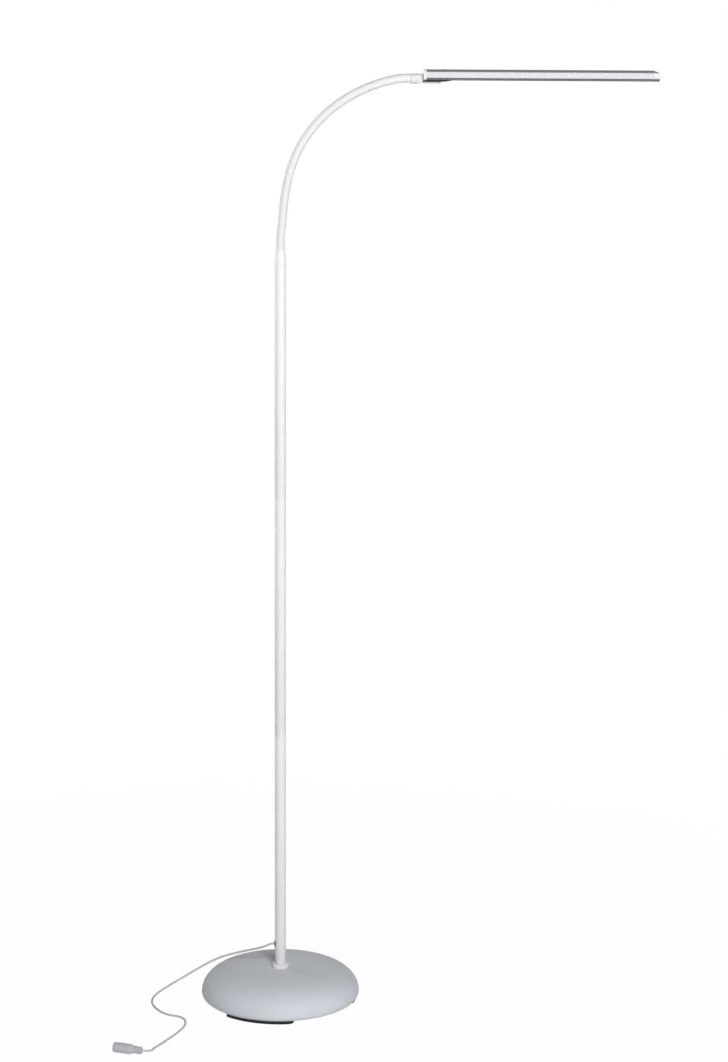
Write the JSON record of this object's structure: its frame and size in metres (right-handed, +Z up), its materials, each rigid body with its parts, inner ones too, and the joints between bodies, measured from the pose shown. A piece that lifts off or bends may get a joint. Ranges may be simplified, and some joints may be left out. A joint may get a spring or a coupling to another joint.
{
  "type": "gooseneck floor lamp",
  "caption": "Gooseneck reading floor lamp: weighted dome base, slim white pole, bendable neck and a straight aluminium light bar, with a short cord ending in an in-line connector.",
  "frame": {"origin": "on the floor, in the middle of the base's underside, under the pole", "axes": "+Z up along the pole, +X the way the neck carries the head at rest, -Y towards the viewer of the picture"},
  "size_m": [0.7446, 0.3478, 1.34],
  "materials": {
    "white_paint": "smooth satin white powder coat",
    "silver_paint": "satin silver-grey paint with a fine grain",
    "cast_iron": "raw",
    "plain_steel": "zinc plated",
    "black_pad": "matt foam rubber",
    "neck_sleeve": "smooth matt white silicone",
    "neck_spiral": "wound steel",
    "white_plastic": "fine satin",
    "anodised": "clear anodised, drawn along its length",
    "silver_plastic": "satin silver",
    "dark_plastic": "matt",
    "diffuser": "milky, frosted",
    "board": "white solder mask",
    "led": "clear resin over phosphor",
    "button": "satin",
    "grommet": "matt",
    "cord_jacket": "soft matt",
    "connector": "satin light grey",
    "contacts": "nickel plated"
  },
  "bodies": {
    "stand": {"foot_pad": "black_pad", "base_plate": "plain_steel", "plate_screws": "plain_steel", "base_weight": "cast_iron", "base_cover": "silver_paint", "base_bolt": "plain_steel", "bolt_washer": "plain_steel", "pole_collar": "white_paint", "pole_plug": "plain_steel", "lower_tube": "white_paint", "lower_coupler": "plain_steel", "middle_tube": "white_paint", "upper_coupler": "plain_steel", "upper_tube": "white_paint", "cord_grommet": "grommet", "pole_cable": "cord_jacket", "neck_ferrule": "white_paint", "grub_screw": "plain_steel", "neck_sleeve_00": "neck_sleeve", "neck_core_00": "neck_spiral", "cord": "cord_jacket", "strain_relief": "connector", "connector_shell": "connector", "connector_insert": "dark_plastic", "connector_contacts": "contacts"},
    "neck_link_1": {"neck_sleeve_01": "neck_sleeve", "neck_core_01": "neck_spiral"},
    "neck_link_2": {"neck_sleeve_02": "neck_sleeve", "neck_core_02": "neck_spiral"},
    "neck_link_3": {"neck_sleeve_03": "neck_sleeve", "neck_core_03": "neck_spiral"},
    "neck_link_4": {"neck_sleeve_04": "neck_sleeve", "neck_core_04": "neck_spiral"},
    "neck_link_5": {"neck_sleeve_05": "neck_sleeve", "neck_core_05": "neck_spiral"},
    "neck_link_6": {"neck_sleeve_06": "neck_sleeve", "neck_core_06": "neck_spiral"},
    "neck_link_7": {"neck_sleeve_07": "neck_sleeve", "neck_core_07": "neck_spiral"},
    "neck_link_8": {"neck_sleeve_08": "neck_sleeve", "neck_core_08": "neck_spiral"},
    "head": {"neck_sleeve_09": "neck_sleeve", "neck_core_09": "neck_spiral", "head_bracket": "white_plastic", "bracket_shim": "dark_plastic", "bracket_screws": "plain_steel", "nut_plate": "plain_steel", "head_profile": "anodised", "inner_end_cap": "white_plastic", "outer_end_cap": "silver_plastic", "diffuser": "diffuser", "led_board": "board", "leds": "led", "button_spring": "plain_steel", "push_switch": "dark_plastic", "switch_board": "board"},
    "button": {"push_button": "button"}
  },
  "joints": [
    {"name": "neck_bend_1", "type": "hinge", "parent": "stand", "child": "neck_link_1", "pos_m": [0.00105, 0, 1.11597], "axis": [0, 1, 0], "range_deg": [-17, 17]},
    {"name": "neck_sway_1", "type": "hinge", "parent": "neck_link_1", "child": "neck_link_2", "pos_m": [0.00444, 0, 1.15121], "axis": [0.9945, 0, -0.1045], "range_deg": [-14, 14]},
    {"name": "neck_bend_2", "type": "hinge", "parent": "neck_link_2", "child": "neck_link_3", "pos_m": [0.00997, 0, 1.18615], "axis": [0, 1, 0], "range_deg": [-17, 17]},
    {"name": "neck_sway_2", "type": "hinge", "parent": "neck_link_3", "child": "neck_link_4", "pos_m": [0.0206, 0, 1.21986], "axis": [0.9205, 0, -0.3907], "range_deg": [-14, 14]},
    {"name": "neck_bend_3", "type": "hinge", "parent": "neck_link_4", "child": "neck_link_5", "pos_m": [0.038, 0, 1.25061], "axis": [0, 1, 0], "range_deg": [-17, 17]},
    {"name": "neck_sway_3", "type": "hinge", "parent": "neck_link_5", "child": "neck_link_6", "pos_m": [0.06142, 0, 1.27708], "axis": [0.682, 0, -0.7314], "range_deg": [-14, 14]},
    {"name": "neck_bend_4", "type": "hinge", "parent": "neck_link_6", "child": "neck_link_7", "pos_m": [0.08946, 0, 1.2986], "axis": [0, 1, 0], "range_deg": [-17, 17]},
    {"name": "neck_sway_4", "type": "hinge", "parent": "neck_link_7", "child": "neck_link_8", "pos_m": [0.12096, 0, 1.31465], "axis": [0.3746, 0, -0.9272], "range_deg": [-14, 14]},
    {"name": "neck_bend_5", "type": "hinge", "parent": "neck_link_8", "child": "head", "pos_m": [0.15477, 0, 1.32499], "axis": [0, 1, 0], "range_deg": [-17, 17]},
    {"name": "button_press", "type": "slide", "parent": "head", "child": "button", "axis": [0, 0, -1], "range_m": [0, 0.0006], "stiffness_N_per_m": 400, "springref_m": -0.0015, "deforming": ["button_spring"]}
  ]
}
